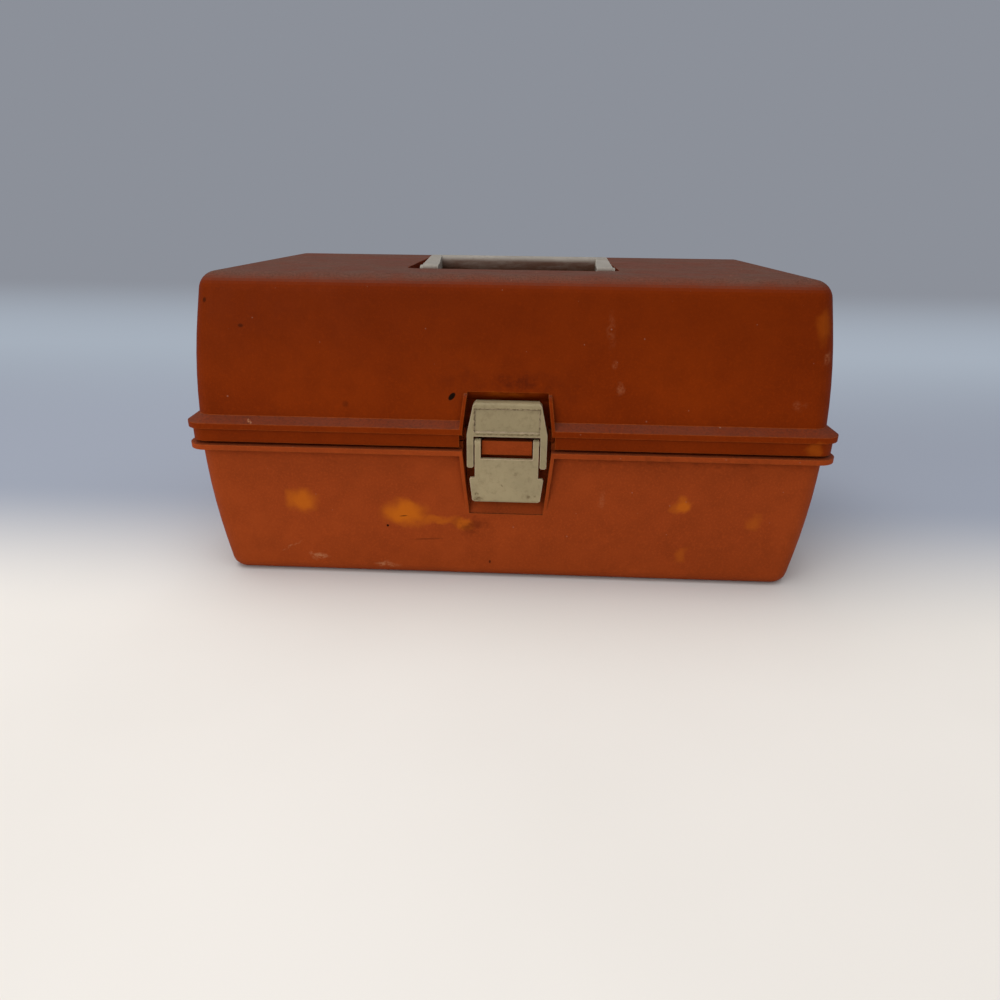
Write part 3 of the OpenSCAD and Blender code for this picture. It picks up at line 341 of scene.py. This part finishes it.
tub_smudges = [
    ((-25, -117, 42), (18, 40, 12), 0.5),
    ((120, -116, 92), (120, 40, 5), 0.3),
]
lid_stains_and_painted_light = [
    ((194, -105, 180), (8, 30, 14), 0.22),
    ((198.5, -120, 103.8), (7, 30, 7), 0.30),
    # Painted light: this patch lightens the shade above the latch bail
    ((0, -119, 133.5), (26, 14, 3.5), 0.35),
]
lid_marks = [
    ((71, -114, 140), (4, 40, 5), 0.25),
    ((67, -113, 154), (3, 40, 4), 0.20),
    ((64, -113, 175), (4, 40, 14), 0.12),
    ((186, -112, 131), (5, 40, 5), 0.2),
    ((199, -105, 160), (4, 40, 6), 0.35),
    ((-169.5, -123, 113.6), (1.7, 8, 1.7), 3.0, 0.7),
]
lid_spots = [
    ((-36.2, -115, 132.5), (1.9, 12, 3.5), 1.0, 0.7, -40),
    ((-193.5, -110, 189.5), (1.8, 12, 2.4), 0.6, 0.4, -30),
    ((-171, -113, 174.5), (2.4, 12, 1.6), 0.55, 0.4),
    ((-106, -116, 126), (3, 12, 3), 0.35),
]
lid_smudges_and_shade = [
    ((8, -113, 142), (34, 40, 10), 0.6),
    ((-28, -116, 140), (24, 40, 18), 0.3),
    ((34, -116, 138), (26, 40, 16), 0.3),
    # Painted shade: these two darken the gaps on either side of the latch bail
    ((-26, -113, 120), (4, 14, 16), 1.0),
    ((26, -113, 120), (4, 14, 16), 1.0),
    ((0, -60, 206), (95, 60, 30), 0.20),
]
# Panels whose edges hold dirt: height of the middle, half height and half width
bail_grooves = [(117.7, 8.4, 21.2)]
lever_spots = [
    ((-18.5, -121, 63.5), (4.5, 10, 2.6), 1.0),
    ((-20, -121, 67), (1.6, 10, 1.6), 0.9),
    ((-3.5, -121, 74), (2.0, 10, 0.9), 0.9, 0.3, -25),
    ((15, -121, 66), (2.2, 10, 1.8), 0.7),
    ((19.5, -121, 66.5), (1.2, 10, 1.4), 0.7),
    ((6, -121, 82), (3.0, 10, 2.4), 0.35),
]

finishes = {
    "orange_tub": orange("orange_tub", (0.302, 0.0490, 0.0085), (0.254, 0.0400, 0.0070), 0.4,
                         tub_stains, tub_marks, tub_spots, tub_smudges),
    # Painted shade: the lid's colours are set darker than the tub's, though both are the same plastic
    "orange_lid": orange("orange_lid", (0.200, 0.0245, 0.0008), (0.160, 0.0180, 0.0005), 1.0,
                         lid_stains_and_painted_light, lid_marks, lid_spots, lid_smudges_and_shade),
    "cream_bail": cream("cream_bail", (0.305, 0.243, 0.134), (0.56, 0.41, 0.28),
                        (0.100, 0.066, 0.028), 0.35, grooves=bail_grooves),
    "cream_lever": cream("cream_lever", (0.335, 0.268, 0.150), (0.58, 0.41, 0.28),
                         (0.105, 0.066, 0.028), 0.5, spots=lever_spots),
    "cream_handle": cream("cream_handle", (0.285, 0.255, 0.215), (0.42, 0.39, 0.33),
                          (0.100, 0.070, 0.042), 0.8, under=(0.058, 0.020, 0.007)),
    "tray_plastic": tray_plastic(),
    "steel": steel(),
}
own_finish = {
    "base_tub": "orange_tub", "lid_shell": "orange_lid",
    "latch_bail": "cream_bail", "latch_lever": "cream_lever", "handle": "cream_handle",
}
for part in frame["record"]["subparts"]:
    name = part["node"]
    mesh = nodes[name].data
    mesh.materials.clear()
    mesh.materials.append(finishes[own_finish.get(name, part["material_slot"])])


# The paper floor in front of the box and behind it, the paler band where it sweeps up, and what
# the camera sees above it
PAPER = (0.785, 0.745, 0.690)
PAPER_BEHIND = (0.315, 0.340, 0.400)
SWEEP = (0.385, 0.435, 0.505)
BACKDROP = (0.262, 0.279, 0.319)
# The plain grey that lights the object from all round
AMBIENT = (0.52, 0.53, 0.55)
# Half the floor's width in metres
FLOOR_HALF = 60.0


def sees(g):
    """Whether a ray is one that shows the backdrop instead of its light."""
    path = g.add("ShaderNodeLightPath")
    seen = g.math("MAXIMUM", path.outputs["Is Camera Ray"], path.outputs["Is Glossy Ray"])
    return g.math("MAXIMUM", seen, path.outputs["Is Transmission Ray"])


def floor_material():
    """White paper in front of the box that turns blue-grey behind it, up to the backdrop."""
    g = Graph("pale_floor")
    back = g.parts(g.place)["Y"]
    reach = g.vector("LENGTH", g.place)
    paper = g.mix(g.ramp(g.noise(3, 4), 0.3, 0.7), PAPER, [c - 0.03 for c in PAPER])
    shade = g.mix(g.ramp(back, -0.190, 0.045), paper, PAPER_BEHIND)
    near = g.add("ShaderNodeBsdfDiffuse")
    g.feed(near.inputs["Color"], shade)
    glow = g.add("ShaderNodeEmission")
    far = g.most([g.ramp(back, 0.7, 2.0), g.ramp(reach, 1.3, 3.0)])
    g.feed(glow.inputs["Color"], g.mix(far, SWEEP, BACKDROP))
    blend = g.add("ShaderNodeMixShader")
    share = g.most([g.ramp(back, 0.15, 0.8), g.ramp(reach, 0.9, 2.6)])
    g.feed(blend.inputs[0], g.math("MULTIPLY", share, sees(g)))
    g.tree.links.new(near.outputs[0], blend.inputs[1])
    g.tree.links.new(glow.outputs[0], blend.inputs[2])
    return g.output(blend)


def floor():
    mesh = bpy.data.meshes.new("floor")
    corners = [(FLOOR_HALF * x, FLOOR_HALF * y, 0) for x, y in ((-1, -1), (1, -1), (1, 1), (-1, 1))]
    mesh.from_pydata(corners, [], [(0, 1, 2, 3)])
    mesh.materials.append(floor_material())
    plane = bpy.data.objects.new("floor", mesh)
    bpy.context.scene.collection.objects.link(plane)


def soft_light(name, place, aim, size, power):
    """A rectangular light of that width and height in metres and power in watts."""
    data = bpy.data.lights.new(name, "AREA")
    data.shape = "RECTANGLE"
    data.size, data.size_y = size
    data.energy = power
    lamp = bpy.data.objects.new(name, data)
    bpy.context.scene.collection.objects.link(lamp)
    lamp.location = place
    lamp.rotation_euler = (Vector(place) - Vector(aim)).to_track_quat("Z", "Y").to_euler()


def studio():
    scene = bpy.context.scene
    g = Graph(bpy.data.worlds.new("studio"))
    sky = g.add("ShaderNodeBackground")
    g.feed(sky.inputs["Color"], g.mix(sees(g), AMBIENT, BACKDROP))
    scene.world = g.output(sky, "ShaderNodeOutputWorld")
    middle = (0.0, 0.0, 0.1)
    soft_light("overhead", (-0.3, -0.10, 2.0), middle, (2.2, 1.8), 27.0)
    soft_light("front", (-1.3, -2.0, 1.1), middle, (1.8, 1.2), 18.0)
    scene.view_settings.view_transform = "Standard"


def camera():
    data = bpy.data.cameras.new("camera")
    data.sensor_width = 36.0
    data.lens = 25.006
    data.clip_end = 200.0
    data.dof.use_dof = False
    view = bpy.data.objects.new("camera", data)
    bpy.context.scene.collection.objects.link(view)
    yaw, pitch, roll = (math.radians(a) for a in (2.361, -22.672, -0.703))
    turn = (Matrix.Rotation(yaw, 4, "Z") @ Matrix.Rotation(math.pi / 2 + pitch, 4, "X")
            @ Matrix.Rotation(-roll, 4, "Z"))
    view.matrix_world = Matrix.Translation((0.013834, -0.553958, 0.244152)) @ turn
    bpy.context.scene.camera = view


floor()
studio()
camera()
